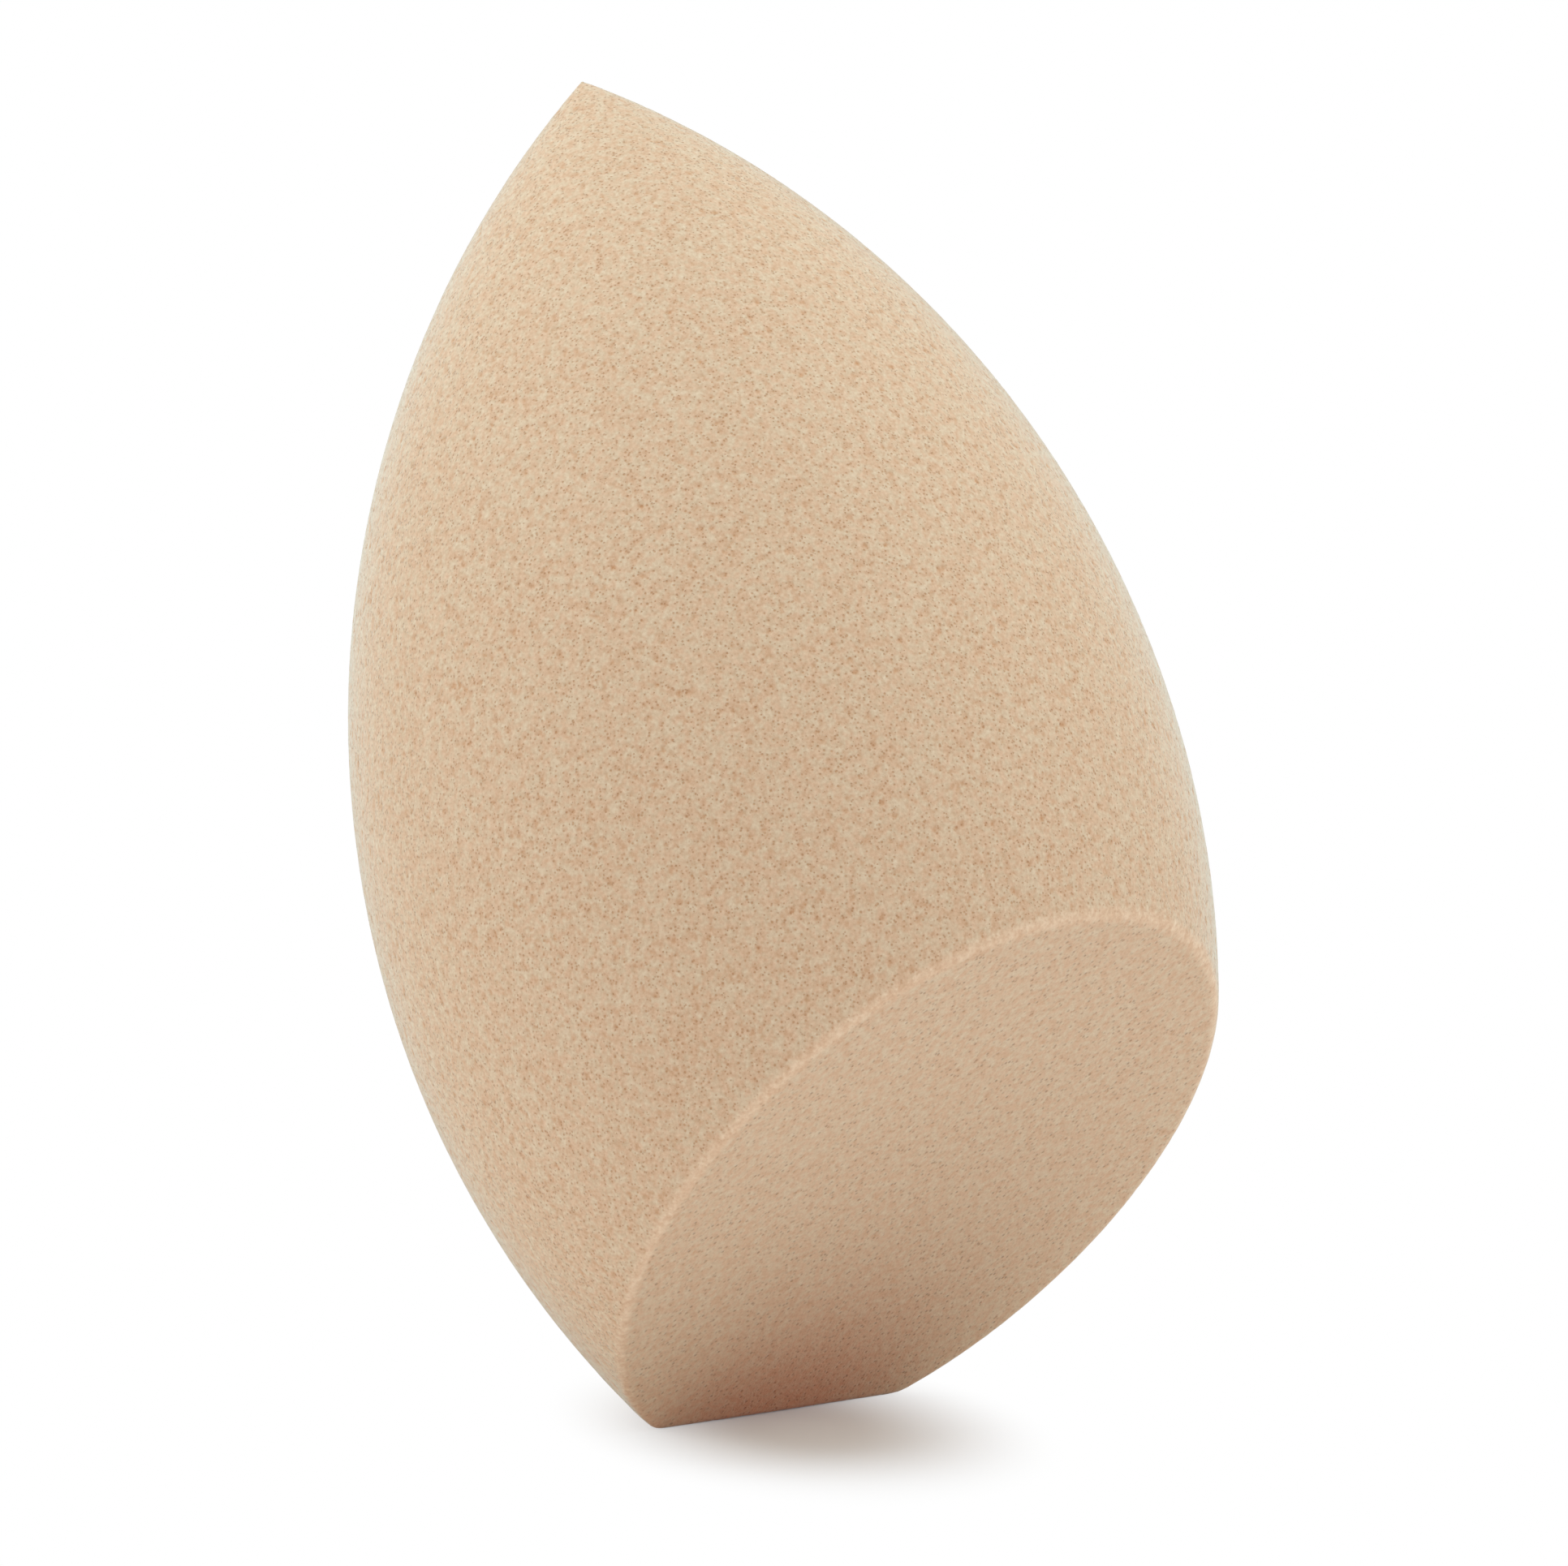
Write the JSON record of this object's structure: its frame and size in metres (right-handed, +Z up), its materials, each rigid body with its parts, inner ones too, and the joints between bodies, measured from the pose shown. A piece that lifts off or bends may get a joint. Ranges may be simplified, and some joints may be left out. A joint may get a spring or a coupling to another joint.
{
  "type": "makeup sponge",
  "caption": "Pointed spindle-shaped foam makeup sponge with a slanted flat face for applying and a small flat foot to stand on.",
  "frame": {"origin": "centre of the lower face of the bounding box, on the surface that the foot stands on", "axes": "+Z up, +X towards the side that the slanted face looks to, +Y square to the mirror plane XZ; the tip leans towards -X"},
  "size_m": [0.0428, 0.04, 0.0635],
  "materials": {
    "foam": "matte"
  },
  "bodies": {
    "root": {"foam_body": "foam"}
  },
  "joints": []
}
